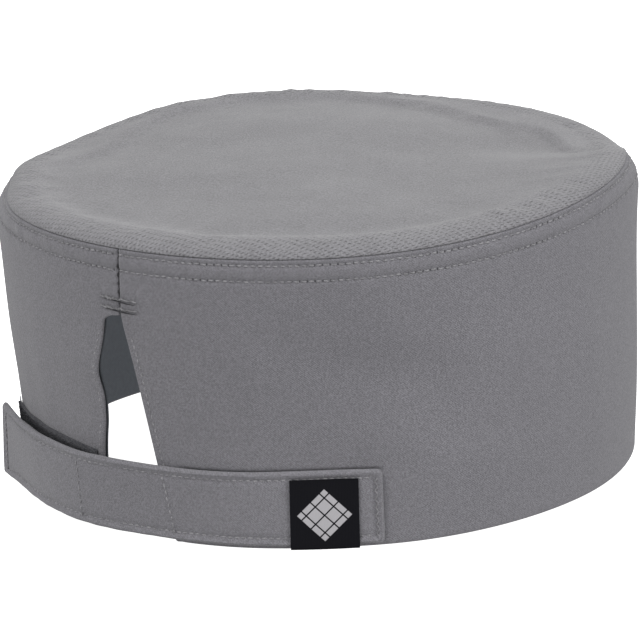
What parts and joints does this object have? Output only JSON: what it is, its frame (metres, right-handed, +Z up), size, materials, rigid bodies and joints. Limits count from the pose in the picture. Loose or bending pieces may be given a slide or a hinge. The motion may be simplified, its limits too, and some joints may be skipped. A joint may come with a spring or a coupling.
{
  "type": "chef skull cap",
  "caption": "Low round cloth chef's cap with a vented flat crown, a stiff side band, a back opening and an adjusting hook-and-loop strap.",
  "frame": {"origin": "middle of the cap's box on the surface that its hem stands on", "axes": "+Z up towards the crown, -Y out of the back opening, +X to the wearer's right"},
  "size_m": [0.1974, 0.1914, 0.0942],
  "materials": {
    "crown_mesh": "matte vented pique mesh",
    "band_twill": "matte fine twill",
    "lining_cloth": "matte fine twill, in shade",
    "interfacing": "matte non-woven",
    "thread": "soft sheen",
    "hook_and_loop": "matte pile",
    "woven_label": "woven satin",
    "care_label": "smooth tape"
  },
  "bodies": {
    "cap": {"crown_panel": "crown_mesh", "band_outer": "band_twill", "band_interfacing": "interfacing", "band_lining": "lining_cloth", "topstitch_upper": "thread", "topstitch_lower": "thread", "opening_stitch_left": "thread", "opening_stitch_right": "thread", "apex_bar_tack": "thread", "strap_face_root": "band_twill", "strap_back_root": "band_twill", "strap_end_stitch": "thread", "strap_root_stitch": "thread", "loop_tape": "hook_and_loop", "woven_label": "woven_label", "care_label": "care_label"},
    "strap_mid": {"strap_face_mid": "band_twill", "strap_back_mid": "band_twill"},
    "strap_tip": {"strap_face_tip": "band_twill", "strap_back_tip": "band_twill", "hook_tape": "hook_and_loop"}
  },
  "joints": [
    {"name": "strap_swing", "type": "hinge", "parent": "cap", "child": "strap_mid", "pos_m": [0.01421, -0.09102, 0.01275], "axis": [0.0097, -0.0643, 0.9979], "range_deg": [0, 100]},
    {"name": "strap_peel", "type": "hinge", "parent": "strap_mid", "child": "strap_tip", "pos_m": [-0.02367, -0.09198, 0.01275], "axis": [-0.0157, -0.0631, 0.9979], "range_deg": [0, 60]}
  ]
}
